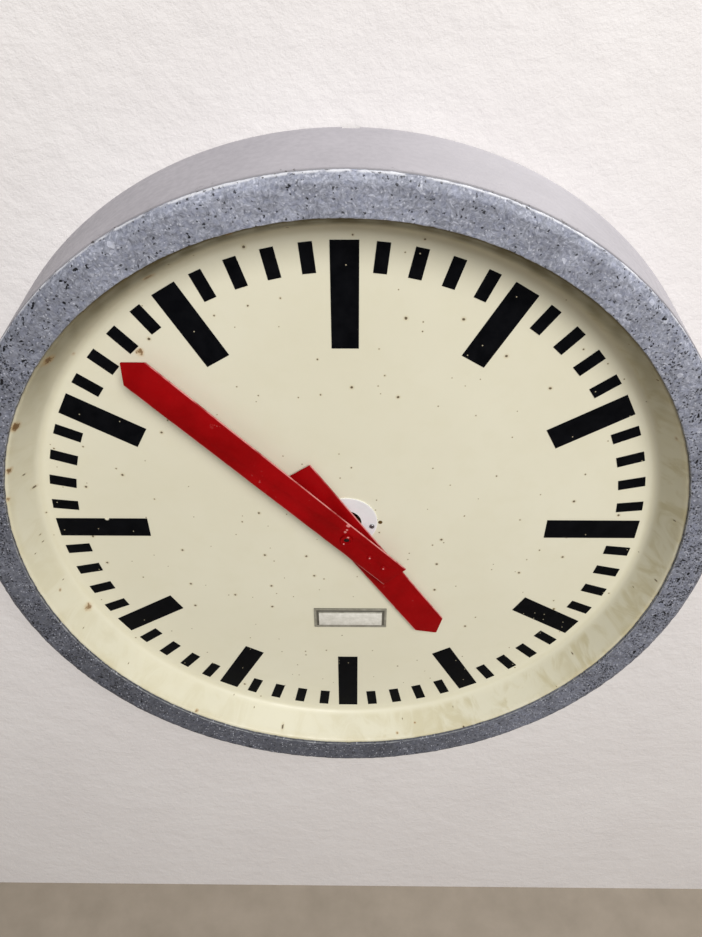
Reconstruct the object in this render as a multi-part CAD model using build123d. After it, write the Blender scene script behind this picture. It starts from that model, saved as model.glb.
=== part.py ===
import os
from math import acos, atan2, cos, pi, radians, sin, tan

from build123d import *

# Large indoor wall clock driven by an impulse movement. Millimetres.
# Pieces are laid out face up: +X right, +Y towards twelve, +Z out from the wall.
# stand_up() turns them at the end: +Z up, the wall plane at Y = 0, the dial facing -Y.

# Fits
running = 0.05
screw_gap = 0.25
sheet_gap = 0.5

# Housing drum, a tapered sheet drum open at the back
rim_radius = 394.0
front_radius = 383.6
seat_depth = 93.3
drum_wall = 2.0
front_flange_inner = 362.0
rear_flange_inner = 372.0
rear_flange_depth = 8.0
notch_x = 5.3
notch_width = 15.0
notch_depth = 4.0

# Cast front ring
ring_inner = 347.0
ring_crown = 377.0
lip_height = 4.4
crown_height = 8.4
shoulder_height = 3.2
ring_step = 0.4

# Dial pan, pressed sheet with a dished rim, standing off from the movement
dial_standoff = 13.5
dial_sheet = 1.5
flat_radius = 329.0
dish_radius = 346.5
pan_flange_radius = 378.5
crease_bend = 8.0
rim_bend = 4.5
dial_hole = 18.0

# Dial markers, thin strips
marker_outer = 318.0
marker_thick = 0.5
quarter_length = 100.0
hour_length = 81.5
hour_width = 25.0
minute_length = 27.5
minute_width = 12.0

# Plain badge plate
badge_x = 3.5
badge_y = -144.0
badge_width = 88.0
badge_height = 32.0
badge_thick = 1.6
badge_border = 6.0
badge_rise = 2.0
badge_bevel = 1.4

# Washer round the dial's centre hole, both set a little above the hands' axis
washer_y = 8.5
washer_outer = 33.5
washer_inner = 16.2
washer_thick = 1.0
washer_screw_circle = 28.0
washer_screw_angles = (99.5, 236, 339.5)
spacer_radius = 3.2

# Back plate and hanger bar
back_sheet = 1.5
back_plate_radius = 389.0
hanger_width = 60.0
hanger_length = 690.0
hanger_thick = 3.0
keyhole_y = 250.0
keyhole_radius = 8.0
keyhole_slot_radius = 4.2
keyhole_rise = 14.0
wall_hole_circle = 280.0
wall_hole_radius = 4.5
gland_y = 325.0
gland_hole = 8.0
gland_bore = 4.5
gland_flange = 12.0
gland_lip = 2.0

# Movement plates, carried on posts
post_height = 7.0
plate_thick = 2.0
plate_gap = 20.0
plate_width = 112.0
plate_top = 56.0
plate_bottom = -126.0
plate_corner = 4.0
plate_screw_reach = 8.0
band_wall = 1.0
band_inset = 1.0
pillar_radius = 4.5
pillar_x = 46.0
pillar_y = (44.0, -114.0)
post_radius = 5.0
post_x = 20.0
post_y = (46.0, -46.0)
post_nut = (2.6, 7.0)

# Going train: centre wheel, intermediate pinion and wheel, rotor pinion
train_module = 1.0
rotor_module = 0.8
centre_teeth = 60
intermediate_pinion_teeth = 12
intermediate_teeth = 60
rotor_teeth = 10
centre_wheel_lift = 2.0
intermediate_wheel_drop = 4.0
wheel_thick = 2.0

# Motion work: cannon pinion, minute wheel and pinion, hour wheel
motion_module = 1.0
hour_module = 0.96
cannon_teeth = 12
minute_wheel_teeth = 36
minute_pinion_teeth = 10
hour_teeth = 40
motion_angle = 180.0
cannon_lift = 1.5
minute_wheel_lift = 2.5
hour_wheel_lift = 7.0
stud_radius = 2.0
stud_length = 12.0
stud_collar_radius = 4.0
minute_pinion_length = 5.4

# Tooth form
pressure_angle = radians(20)
addendum = 0.6
dedendum = 0.9
tooth_share = 0.88

# Arbors and pipes
centre_arbor_radius = 3.0
cannon_pipe_radius = 4.5
hour_pipe_radius = 7.0
train_arbor_radius = 1.5
rotor_arbor_radius = 1.2
wheel_seat_radius = 4.0
collet_wall = 3.5
collet_length = 4.0
centre_bush_radius = 6.0
small_bush_radius = 3.5
arbor_lift = 19.5
cannon_end_lift = 20.8

# Rotor, yoke and coil
rotor_radius = 12.0
rotor_air_gap = 0.6
yoke_thick = 8.0
yoke_width = 52.0
yoke_top = -52.0
yoke_bottom = -119.0
window_half = 14.0
window_top = -80.0
core_height = 10.0
bobbin_gap = 0.7
coil_inset = 0.5
bobbin_wall = 1.0
bobbin_sleeve = 2.4
yoke_stud_radius = 1.6
yoke_stud_x = 19.5
yoke_stud_y = -96.0
yoke_nut = (2.4, 5.5)
yoke_slot = 8.0

# Hands
hand_sheet = 1.5
hour_hand_lift = 5.0
hour_angle = 146.35
hour_half_width = 19.2
hour_shoulder = 178.5
hour_tip = 196.0
hour_tail = 95.0
hour_hub_radius = 12.0
hour_spigot_radius = 9.0
hub_rivet_radius = 1.2
hub_rivet_head = 2.0
hub_rivet_reach = 10.6
hour_hub_lift = 1.8
minute_hand_lift = 17.5
minute_angle = 316.2
minute_half_width = 17.0
minute_shoulder = 278.0
minute_tip = 294.0
minute_tail = 78.0
minute_hub_radius = 9.0
minute_hub_lift = 10.5
hub_nose_radius = 6.5
hub_nose_height = 2.5
weight_thick = 6.5
weight_near = 28.0
weight_far = 72.0
weight_width = 26.0
tail_rivets = (36.6, 58.8)
set_screw_angle = 12.0
set_screw_head = 2.6
set_screw_reach = 14.0

# Terminal block
terminal_y = 170.0
terminal_width = 42.0
terminal_height = 20.0
terminal_thick = 16.0
terminal_clamp_x = (-6.0, 6.0)
clamp_radius = 2.5
clamp_well = 5.0
wire_radius = 2.2
wire_height = 6.0

# Screws: shank radius, head radius, head height
m3 = (1.5, 2.8, 1.6)
m4 = (2.0, 3.8, 2.2)
ring_screw_count = 12
ring_screw_circle = 370.0
ring_screw_bite = 5.0
ring_hole_spare = 0.5
back_screw_count = 8
back_screw_circle = 380.0
rivet_radius = 2.0
rivet_head = 3.2
rivet_height = 1.2

bottom_up = (Align.CENTER, Align.CENTER, Align.MIN)


# Shared shapes

def at_clock(radius, angle):
    """Point at a radius and a clockwise angle from twelve."""
    return radius * sin(radians(angle)), radius * cos(radians(angle))


def rod(radius, low, high, x=0.0, y=0.0):
    return Pos(x, y, low) * Cylinder(radius, high - low, align=bottom_up)


def tube(outer, inner, low, high, x=0.0, y=0.0):
    return rod(outer, low, high, x, y) - rod(inner, low, high, x, y)


def slab(width, height, low, high, x=0.0, y=0.0):
    return Pos(x, y, low) * Box(width, height, high - low, align=bottom_up)


def turned(points, bends):
    """Solid turned about the clock's axis from a (radius, depth) outline."""
    outline = FilletPolyline(points, radius=bends, close=True)
    return Rot(90, 0, 0) * revolve(make_face(outline), Axis.Y)


def circle_points(count, radius, first=0.0):
    return [at_clock(radius, first + index * 360 / count) for index in range(count)]


def screw(size, seat, reach, side, x, y):
    """Slotted screw with its head on the +Z side (side 1) or the wall side (side -1)."""
    shank, head, height = size
    cap = Cylinder(head, height, align=bottom_up)
    cap = chamfer(cap.edges().group_by(Axis.Z)[-1], height * 0.3)
    cap -= Pos(0, 0, height * 0.55) * Box(head * 3, head * 0.3, height, align=bottom_up)
    body = cap + rod(shank, -reach, 0)
    return Pos(x, y, seat) * Rot(90 - 90 * side, 0, 0) * body


def rivet(low, high, x, y):
    """Rivet through sheets from low to high, with a low round head at both ends."""
    head = chamfer(Cylinder(rivet_head, rivet_height, align=bottom_up).edges().group_by(Axis.Z)[-1], 0.6)
    top = Pos(x, y, high) * head
    tail = Pos(x, y, low) * Rot(180, 0, 0) * head
    return top + tail + rod(rivet_radius, low, high, x, y)


def hex_nut(low, thick, bore, across, x, y):
    outline = RegularPolygon(across / 2, 6, major_radius=False)
    return Pos(x, y, low) * extrude(outline, thick) - rod(bore, low, low + thick, x, y)


# Gears

def involute(radius, base):
    angle = acos(min(1.0, base / radius))
    return tan(angle) - angle


def gear_outline(teeth, module):
    pitch = teeth * module / 2
    base = pitch * cos(pressure_angle)
    root = pitch - dedendum * module
    tip = pitch + addendum * module
    start = max(root, base)
    half = tooth_share * pi / (2 * teeth) + involute(pitch, base)
    flank = [start + (tip - start) * step / 4 for step in range(5)]
    side = [(root, half - involute(start, base))] if root < base else []
    side += [(radius, half - involute(radius, base)) for radius in flank]
    points = []
    for tooth in range(teeth):
        middle = 2 * pi * tooth / teeth
        points += [(r * cos(middle - a), r * sin(middle - a)) for r, a in side]
        points += [(r * cos(middle + a), r * sin(middle + a)) for r, a in reversed(side)]
    return points


def gear(teeth, module, low, thick, bore, tooth_angle, x=0.0, y=0.0):
    """Spur gear with one tooth's middle at a clockwise angle from twelve."""
    blank = extrude(make_face(Polyline(*gear_outline(teeth, module), close=True)), thick)
    placed = Pos(x, y, low) * Rot(0, 0, 90 - tooth_angle) * blank
    if bore:
        placed -= rod(bore, low, low + thick, x, y)
    return placed


def gap_angle(teeth, angle):
    """Tooth angle that leaves a gap's middle at the given angle."""
    return angle + 180 / teeth


def crossed(wheel, teeth, module, hub, low, thick, x=0.0, y=0.0):
    """Wheel lightened by five round windows between hub and rim."""
    rim = teeth * module / 2 - 4 * module
    window = (rim - hub) / 2 - 1
    for dx, dy in circle_points(5, (rim + hub) / 2, 36):
        wheel -= rod(window, low, low + thick, x + dx, y + dy)
    return wheel


# Places worked out from the sizes above

ring_base = seat_depth + dial_sheet
back_depth = rear_flange_depth - back_sheet
bar_face = rear_flange_depth + hanger_thick
rear_plate_depth = bar_face + post_height
rear_plate_face = rear_plate_depth + plate_thick
front_plate_depth = rear_plate_face + plate_gap
front_plate_face = front_plate_depth + plate_thick
dial_back = front_plate_face + dial_standoff
dial_depth = dial_back + dial_sheet
centre_wheel_depth = rear_plate_face + centre_wheel_lift
intermediate_wheel_depth = front_plate_depth - intermediate_wheel_drop
cannon_depth = front_plate_face + cannon_lift
minute_wheel_depth = front_plate_face + minute_wheel_lift
hour_wheel_depth = front_plate_face + hour_wheel_lift
arbor_end = dial_depth + arbor_lift
cannon_end = dial_depth + cannon_end_lift
hour_hub_depth = dial_depth + hour_hub_lift
hour_hand_depth = dial_depth + hour_hand_lift
minute_hub_depth = dial_depth + minute_hub_lift
minute_hand_depth = dial_depth + minute_hand_lift
train_distance = (centre_teeth + intermediate_pinion_teeth) * train_module / 2
rotor_distance = (intermediate_teeth + rotor_teeth) * rotor_module / 2
motion_distance = (cannon_teeth + minute_wheel_teeth) * motion_module / 2
intermediate_place = (0.0, -train_distance)
rotor_place = (0.0, -train_distance - rotor_distance)
train_places = [intermediate_place, rotor_place]
motion_place = at_clock(motion_distance, motion_angle)
yoke_depth = rear_plate_face + (plate_gap - yoke_thick) / 2
yoke_face = yoke_depth + yoke_thick
bobbin_radius = plate_gap / 2 - bobbin_gap
coil_radius = bobbin_radius - coil_inset
core_y = yoke_bottom + core_height / 2
core_z = yoke_depth + yoke_thick / 2

ring_screw_places = circle_points(ring_screw_count, ring_screw_circle, 15)
back_screw_places = circle_points(back_screw_count, back_screw_circle, 22.5)
washer_screw_places = [
    (x, y + washer_y) for x, y in (at_clock(washer_screw_circle, angle) for angle in washer_screw_angles)
]
wall_hole_places = circle_points(4, wall_hole_circle, 45)
bar_rivet_places = [(x, y) for x in (-22.0, 22.0) for y in (-300.0, -110.0, 110.0, 300.0)]
pillar_places = [(x, y) for x in (-pillar_x, pillar_x) for y in pillar_y]
post_places = [(x, y) for x in (-post_x, post_x) for y in post_y]
yoke_stud_places = [(x, yoke_stud_y) for x in (-yoke_stud_x, yoke_stud_x)]
terminal_screw_places = [(x, terminal_y) for x in (-15.0, 15.0)]


def wall_radius(depth):
    """Outer radius of the drum at a depth."""
    return rim_radius + (front_radius - rim_radius) * depth / seat_depth


def drill(piece, places, radius, low, high):
    for x, y in places:
        piece -= rod(radius, low, high, x, y)
    return piece


# Case

def housing_drum():
    rear_top = rear_flange_depth + drum_wall
    flange_back = seat_depth - drum_wall
    points = [
        (rim_radius, 0), (front_radius, seat_depth), (front_flange_inner, seat_depth),
        (front_flange_inner, flange_back), (wall_radius(flange_back) - drum_wall, flange_back),
        (wall_radius(rear_top) - drum_wall, rear_top), (rear_flange_inner, rear_top),
        (rear_flange_inner, rear_flange_depth),
        (wall_radius(rear_flange_depth) - drum_wall, rear_flange_depth), (rim_radius - drum_wall, 0),
    ]
    drum = turned(points, [0, 1.2, 0, 0, 0, 0, 0, 0, 0, 0])
    drum -= slab(notch_width, 8 * drum_wall, 0, notch_depth, notch_x, rim_radius - drum_wall)
    drum = drill(drum, ring_screw_places, m4[0] + screw_gap, flange_back, seat_depth)
    return drill(drum, back_screw_places, m4[0] + running, rear_flange_depth, rear_top)


def front_ring():
    skirt_inner = pan_flange_radius + sheet_gap
    outer = front_radius - ring_step
    points = [
        (ring_inner, ring_base), (ring_inner, ring_base + lip_height),
        (ring_crown, ring_base + crown_height), (outer, ring_base + shoulder_height),
        (outer, seat_depth), (skirt_inner, seat_depth), (skirt_inner, ring_base),
    ]
    ring = turned(points, [0, 1.8, 5, 1.5, 0, 0, 0])
    hole_top = ring_base + ring_screw_bite + ring_hole_spare
    return drill(ring, ring_screw_places, m4[0] + running, ring_base, hole_top)


def dial_pan():
    """Flat dial, bent up into the dished rim and out into the flange under the ring."""
    slope = atan2(ring_base - dial_depth, dish_radius - flat_radius)
    shift = dial_sheet * tan(slope / 2)
    pilot = (dial_hole - washer_y) * 0.9
    points = [
        (pilot, dial_depth), (flat_radius, dial_depth), (dish_radius, ring_base),
        (pan_flange_radius, ring_base), (pan_flange_radius, seat_depth),
        (dish_radius + shift, seat_depth), (flat_radius + shift, dial_back), (pilot, dial_back),
    ]
    bends = [0, crease_bend, rim_bend, 0, 0, rim_bend - dial_sheet, crease_bend + dial_sheet, 0]
    pan = turned(points, bends) - rod(dial_hole, dial_back, dial_depth, 0, washer_y)
    pan = drill(pan, ring_screw_places, m4[0] + screw_gap, seat_depth, ring_base)
    return drill(pan, washer_screw_places, m3[0] + screw_gap, dial_back, dial_depth)


def marker(length, width, angle):
    strip = Box(width, length, marker_thick, align=bottom_up)
    x, y = at_clock(marker_outer - length / 2, angle)
    return Pos(x, y, dial_depth) * Rot(0, 0, -angle) * strip


def quarter_markers():
    return [marker(quarter_length, hour_width, angle) for angle in range(0, 360, 90)]


def hour_markers():
    return [marker(hour_length, hour_width, angle) for angle in range(0, 360, 30) if angle % 90]


def minute_markers():
    return [marker(minute_length, minute_width, angle) for angle in range(0, 360, 6) if angle % 30]


def badge_plate():
    top = dial_depth + badge_thick
    base = slab(badge_width, badge_height, dial_depth, top)
    block = slab(badge_width - 2 * badge_border, badge_height - 2 * badge_border, top, top + badge_rise)
    block = chamfer(block.edges().group_by(Axis.Z)[-1], badge_bevel)
    return Pos(badge_x, badge_y, 0) * (base + block)


def dial_washer():
    top = dial_depth + washer_thick
    washer = tube(washer_outer, washer_inner, dial_depth, top, 0, washer_y)
    return drill(washer, washer_screw_places, m3[0] + screw_gap, dial_depth, top)


def washer_screws():
    seat = dial_depth + washer_thick
    reach = seat - front_plate_depth
    return [screw(m3, seat, reach, 1, x, y) for x, y in washer_screw_places]


def dial_spacers():
    bore = m3[0] + screw_gap
    return [tube(spacer_radius, bore, front_plate_face, dial_back, x, y) for x, y in washer_screw_places]


def ring_screws():
    seat = seat_depth - drum_wall
    reach = drum_wall + dial_sheet + ring_screw_bite
    return [screw(m4, seat, reach, -1, x, y) for x, y in ring_screw_places]


def keyhole(low, high):
    """Round entry with a narrow slot rising from it."""
    slot = slab(2 * keyhole_slot_radius, keyhole_rise, low, high, 0, keyhole_y + keyhole_rise / 2)
    top = rod(keyhole_slot_radius, low, high, 0, keyhole_y + keyhole_rise)
    return rod(keyhole_radius, low, high, 0, keyhole_y) + slot + top


def back_plate():
    plate = rod(back_plate_radius, back_depth, rear_flange_depth)
    plate -= keyhole(back_depth, rear_flange_depth)
    plate = drill(plate, wall_hole_places, wall_hole_radius, back_depth, rear_flange_depth)
    plate = drill(plate, back_screw_places, m4[0] + screw_gap, back_depth, rear_flange_depth)
    plate = drill(plate, bar_rivet_places, rivet_radius + running, back_depth, rear_flange_depth)
    return plate - rod(gland_hole, back_depth, rear_flange_depth, 0, gland_y)


def back_screws():
    return [screw(m4, back_depth, back_sheet + drum_wall + 1.0, -1, x, y) for x, y in back_screw_places]


def hanger_bar():
    bar = slab(hanger_width, hanger_length, rear_flange_depth, bar_face)
    bar -= keyhole(rear_flange_depth, bar_face)
    bar = drill(bar, bar_rivet_places, rivet_radius + running, rear_flange_depth, bar_face)
    bar = drill(bar, post_places, m4[0] + running, rear_flange_depth, bar_face)
    bar = drill(bar, terminal_screw_places, m3[0] + running, rear_flange_depth, bar_face)
    return bar - rod(gland_flange + sheet_gap, rear_flange_depth, bar_face, 0, gland_y)


def bar_rivets():
    return [rivet(back_depth, bar_face, x, y) for x, y in bar_rivet_places]


def cable_gland():
    """Rubber grommet gripping the back plate's cable hole."""
    neck = rod(gland_hole - running, back_depth, rear_flange_depth, 0, gland_y)
    rear = rod(gland_flange, back_depth - gland_lip, back_depth, 0, gland_y)
    front = rod(gland_flange, rear_flange_depth, rear_flange_depth + gland_lip, 0, gland_y)
    ends = back_depth - gland_lip, rear_flange_depth + gland_lip
    return rear + neck + front - rod(gland_bore, *ends, 0, gland_y)


def terminal_block():
    top = bar_face + terminal_thick
    block = slab(terminal_width, terminal_height, bar_face, top, 0, terminal_y)
    block = chamfer(block.edges().group_by(Axis.Z)[-1], 1.2)
    for x in terminal_clamp_x:
        block -= rod(clamp_radius + 0.1, top - clamp_well, top, x, terminal_y)
        wire_way = Rot(90, 0, 0) * Cylinder(wire_radius, terminal_height)
        block -= Pos(x, terminal_y, bar_face + wire_height) * wire_way
    return drill(block, terminal_screw_places, m3[0] + screw_gap, bar_face, top)


def terminal_screws():
    top = bar_face + terminal_thick
    reach = terminal_thick + hanger_thick
    fixing = [screw(m3, top, reach, 1, x, y) for x, y in terminal_screw_places]
    low = top - clamp_well
    return fixing + [rod(clamp_radius, low, top - 1.5, x, terminal_y) for x in terminal_clamp_x]


# Movement frame

def movement_plate(low):
    height = plate_top - plate_bottom
    plate = slab(plate_width, height, low, low + plate_thick, 0, (plate_top + plate_bottom) / 2)
    plate = fillet(plate.edges().filter_by(Axis.Z), plate_corner)
    return drill(plate, pillar_places, m3[0] + screw_gap, low, low + plate_thick)


def rear_plate():
    high = rear_plate_face
    plate = movement_plate(rear_plate_depth)
    plate = drill(plate, post_places, m4[0] + running, rear_plate_depth, high)
    plate = drill(plate, yoke_stud_places, yoke_stud_radius + running, rear_plate_depth, high)
    plate = drill(plate, [(0, 0)], centre_bush_radius + running, rear_plate_depth, high)
    return drill(plate, train_places, small_bush_radius + running, rear_plate_depth, high)


def front_plate():
    high = front_plate_face
    plate = movement_plate(front_plate_depth)
    plate = drill(plate, washer_screw_places, m3[0] + running, front_plate_depth, high)
    plate = drill(plate, [(0, 0)], centre_bush_radius + running, front_plate_depth, high)
    plate = drill(plate, [motion_place], stud_radius + running, front_plate_depth, high)
    return drill(plate, train_places, small_bush_radius + running, front_plate_depth, high)


def pillars():
    blanks = [rod(pillar_radius, rear_plate_face, front_plate_depth, x, y) for x, y in pillar_places]
    return [
        drill(blank, [place], m3[0] + running, rear_plate_face, front_plate_depth)
        for blank, place in zip(blanks, pillar_places)
    ]


def plate_screws():
    rear = [screw(m3, rear_plate_depth, plate_screw_reach, -1, x, y) for x, y in pillar_places]
    return rear + [screw(m3, front_plate_face, plate_screw_reach, 1, x, y) for x, y in pillar_places]


def mounting_posts():
    """Shouldered posts from the hanger bar to the rear plate, threaded for a nut."""
    nut_top = rear_plate_face + post_nut[0] + 0.6
    return [
        rod(post_radius, bar_face, rear_plate_depth, x, y)
        + rod(m4[0], rear_flange_depth, bar_face, x, y)
        + rod(m4[0], rear_plate_depth, nut_top, x, y)
        for x, y in post_places
    ]


def post_nuts():
    return [hex_nut(rear_plate_face, post_nut[0], m4[0] + running, post_nut[1], x, y) for x, y in post_places]


def dust_band():
    """Sheet band closing the gap between the movement plates."""
    width = plate_width - 2 * band_inset
    height = plate_top - plate_bottom - 2 * band_inset
    middle = (plate_top + plate_bottom) / 2
    outer = slab(width, height, rear_plate_face, front_plate_depth, 0, middle)
    inner = slab(width - 2 * band_wall, height - 2 * band_wall, rear_plate_face, front_plate_depth, 0, middle)
    corners = outer.edges().filter_by(Axis.Z), inner.edges().filter_by(Axis.Z)
    return fillet(corners[0], plate_corner) - fillet(corners[1], plate_corner - band_wall)


def bush(outer, bore, low, place):
    return tube(outer, bore + running, low, low + plate_thick, place[0], place[1])


def arbor_bushes():
    bushes = []
    for low in (rear_plate_depth, front_plate_depth):
        bushes.append(bush(centre_bush_radius, centre_arbor_radius, low, (0, 0)))
        bushes.append(bush(small_bush_radius, train_arbor_radius, low, intermediate_place))
        bushes.append(bush(small_bush_radius, rotor_arbor_radius, low, rotor_place))
    return bushes


# Drive: coil, yoke and rotor

def yoke():
    middle = (yoke_top + yoke_bottom) / 2
    plate = slab(yoke_width, yoke_top - yoke_bottom, yoke_depth, yoke_face, 0, middle)
    window_bottom = yoke_bottom + core_height
    window_height = window_top - window_bottom
    plate -= slab(2 * window_half, window_height, yoke_depth, yoke_face, 0, window_bottom + window_height / 2)
    plate -= slab(yoke_slot, yoke_top - window_top, yoke_depth, yoke_face, 0, (yoke_top + window_top) / 2)
    plate -= rod(rotor_radius + rotor_air_gap, yoke_depth, yoke_face, *rotor_place)
    return drill(plate, yoke_stud_places, yoke_stud_radius + running, yoke_depth, yoke_face)


def yoke_studs():
    return [
        rod(2 * yoke_stud_radius, rear_plate_face, yoke_depth, x, y)
        + rod(yoke_stud_radius, rear_plate_depth, rear_plate_face, x, y)
        + rod(yoke_stud_radius, yoke_depth, yoke_face + 3, x, y)
        for x, y in yoke_stud_places
    ]


def yoke_nuts():
    thick, across = yoke_nut
    return [hex_nut(yoke_face, thick, yoke_stud_radius + running, across, x, y) for x, y in yoke_stud_places]


def sideways_rod(radius, left, right):
    """Rod along X through the middle of the yoke's core."""
    blank = Cylinder(radius, right - left, align=bottom_up)
    return Pos(left, core_y, core_z) * Rot(0, 90, 0) * blank


def coil_bobbin():
    end = window_half - running
    core = Pos(0, core_y, core_z) * Box(2 * end, core_height + bobbin_sleeve, yoke_thick + bobbin_sleeve)
    cheeks = sideways_rod(bobbin_radius, -end, bobbin_wall - end)
    cheeks += sideways_rod(bobbin_radius, end - bobbin_wall, end)
    hole = Pos(0, core_y, core_z) * Box(3 * end, core_height + 2 * running, yoke_thick + 2 * running)
    return core + cheeks - hole


def coil_winding():
    end = window_half - running - bobbin_wall
    core = Pos(0, core_y, core_z) * Box(3 * end, core_height + bobbin_sleeve, yoke_thick + bobbin_sleeve)
    return sideways_rod(coil_radius, -end, end) - core


def rotor_magnet():
    return tube(rotor_radius, rotor_arbor_radius + running, yoke_depth, yoke_face, *rotor_place)


def rotor_pinion():
    """Rotor arbor with its pinion cut in one piece."""
    phase = gap_angle(rotor_teeth, 0.0)
    low = intermediate_wheel_depth - 0.5
    pinion = gear(rotor_teeth, rotor_module, low, wheel_thick + 1, 0, phase, *rotor_place)
    return pinion + rod(rotor_arbor_radius, rear_plate_depth, front_plate_face, *rotor_place)


# Going train

def intermediate_pinion():
    phase = gap_angle(intermediate_pinion_teeth, 0.0)
    low = centre_wheel_depth - 0.8
    thick = wheel_thick + 1.6
    pinion = gear(intermediate_pinion_teeth, train_module, low, thick, 0, phase, *intermediate_place)
    arbor = rod(train_arbor_radius, rear_plate_depth, front_plate_face, *intermediate_place)
    seat = rod(wheel_seat_radius, intermediate_wheel_depth - 2, intermediate_wheel_depth, *intermediate_place)
    return pinion + arbor + seat


def intermediate_wheel():
    bore = train_arbor_radius + running
    x, y = intermediate_place
    wheel = gear(intermediate_teeth, rotor_module, intermediate_wheel_depth, wheel_thick, bore, 180, x, y)
    return crossed(wheel, intermediate_teeth, rotor_module, 5, intermediate_wheel_depth, wheel_thick, x, y)


def centre_wheel():
    bore = centre_arbor_radius + running
    wheel = gear(centre_teeth, train_module, centre_wheel_depth, wheel_thick, bore, 180)
    return crossed(wheel, centre_teeth, train_module, 8, centre_wheel_depth, wheel_thick)


def centre_arbor():
    """Arbor through both plates, with a collar behind the centre wheel."""
    collar = rod(centre_arbor_radius + collet_wall, centre_wheel_depth - 1.5, centre_wheel_depth)
    return rod(centre_arbor_radius, rear_plate_depth - 1, arbor_end) + collar


def wheel_collet():
    low = centre_wheel_depth + wheel_thick
    outer = centre_arbor_radius + collet_wall
    return tube(outer, centre_arbor_radius + running, low, low + collet_length)


# Motion work

def cannon_pinion():
    """Pinion and pipe turning with the centre arbor, carrying the minute hand."""
    phase = motion_angle
    pinion = gear(cannon_teeth, motion_module, cannon_depth, 4, 0, phase)
    pipe = rod(cannon_pipe_radius, cannon_depth - 0.8, cannon_end)
    return pinion + pipe - rod(centre_arbor_radius + running, cannon_depth - 0.8, cannon_end)


def motion_stud():
    return rod(stud_radius, front_plate_depth, front_plate_face + stud_length, *motion_place)


def stud_clip():
    low = minute_wheel_depth + wheel_thick + minute_pinion_length + 0.2
    return tube(stud_collar_radius, stud_radius + running, low, low + 0.8, *motion_place)


def stud_collar():
    """Spacer that keeps the minute wheel off the front plate."""
    high = minute_wheel_depth - 0.2
    return tube(stud_collar_radius, stud_radius + running, front_plate_face, high, *motion_place)


def minute_wheel():
    bore = minute_pinion_teeth * hour_module / 2 - dedendum * hour_module - 0.4
    phase = gap_angle(minute_wheel_teeth, motion_angle + 180)
    x, y = motion_place
    wheel = gear(minute_wheel_teeth, motion_module, minute_wheel_depth, wheel_thick, bore, phase, x, y)
    return crossed(wheel, minute_wheel_teeth, motion_module, 6, minute_wheel_depth, wheel_thick, x, y)


def minute_pinion():
    """Pinion with a boss through the minute wheel, running on the stud."""
    low = minute_wheel_depth + wheel_thick
    boss = minute_pinion_teeth * hour_module / 2 - dedendum * hour_module - 0.4 - running
    phase = motion_angle + 180
    pinion = gear(minute_pinion_teeth, hour_module, low, minute_pinion_length, 0, phase, *motion_place)
    pinion += rod(boss, minute_wheel_depth, low, *motion_place)
    return pinion - rod(stud_radius + running, minute_wheel_depth, low + minute_pinion_length, *motion_place)


def hour_wheel():
    bore = hour_pipe_radius + running
    phase = gap_angle(hour_teeth, motion_angle)
    return gear(hour_teeth, hour_module, hour_wheel_depth, wheel_thick, bore, phase)


def hour_pipe():
    """Pipe running on the cannon pinion, flanged to carry the hour wheel."""
    low = hour_wheel_depth - 1
    high = hour_hand_depth + hand_sheet
    pipe = rod(hour_pipe_radius, low, high) + rod(hour_pipe_radius + 4, low, hour_wheel_depth)
    return pipe - rod(cannon_pipe_radius + running, low, high)


# Hands

def hand_blade(half_width, shoulder, tip, tail, low):
    """Flat bar pointing at twelve with a pointed tip and a square tail."""
    outline = Polyline(
        (-half_width, -tail), (-half_width, shoulder), (0, tip), (half_width, shoulder),
        (half_width, -tail), close=True,
    )
    return Pos(0, 0, low) * extrude(make_face(outline), hand_sheet)


def pointed(piece, angle):
    """Piece drawn for twelve, turned to its place on the dial."""
    return Rot(0, 0, -angle) * piece


def hour_hand():
    low = hour_hand_depth
    blade = hand_blade(hour_half_width, hour_shoulder, hour_tip, hour_tail, low)
    blade -= rod(hour_spigot_radius + running, low, low + hand_sheet)
    blade = drill(blade, hub_rivet_places(), hub_rivet_radius + running, low, low + hand_sheet)
    return pointed(blade, hour_angle)


def hub_rivet_places():
    return [(0, -hub_rivet_reach), (0, hub_rivet_reach)]


def hour_hub():
    """Collet on the hour pipe with a spigot through the hand."""
    high = hour_hand_depth + hand_sheet
    hub = rod(hour_hub_radius, hour_hub_depth, hour_hand_depth)
    hub += rod(hour_spigot_radius, hour_hand_depth, high)
    hub -= rod(hour_pipe_radius + running, hour_hub_depth, high)
    hub = drill(hub, hub_rivet_places(), hub_rivet_radius + running, hour_hub_depth, hour_hand_depth)
    return pointed(hub, hour_angle)


def hour_hub_rivets():
    high = hour_hand_depth + hand_sheet
    pins = [rod(hub_rivet_radius, hour_hub_depth, high, x, y) for x, y in hub_rivet_places()]
    heads = [rod(hub_rivet_head, high, high + 0.5, x, y) for x, y in hub_rivet_places()]
    return [pointed(pin + head, hour_angle) for pin, head in zip(pins, heads)]


def minute_hand():
    low = minute_hand_depth
    high = low + hand_sheet
    blade = hand_blade(minute_half_width, minute_shoulder, minute_tip, minute_tail, low)
    blade -= rod(hub_nose_radius + running, low, high)
    blade = drill(blade, [(0, -reach) for reach in tail_rivets], rivet_radius + running, low, high)
    return pointed(blade, minute_angle)


def minute_hub():
    """Collet on the cannon pinion, with a nose through the hand and a set screw."""
    nose = minute_hand_depth + hand_sheet + hub_nose_height
    hub = rod(minute_hub_radius, minute_hub_depth, minute_hand_depth)
    hub += rod(hub_nose_radius, minute_hand_depth, nose)
    hub -= rod(cannon_pipe_radius + running, minute_hub_depth, nose)
    return hub - radial_rod(m3[0] + running, cannon_pipe_radius - 1, minute_hub_radius + 1)


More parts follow.
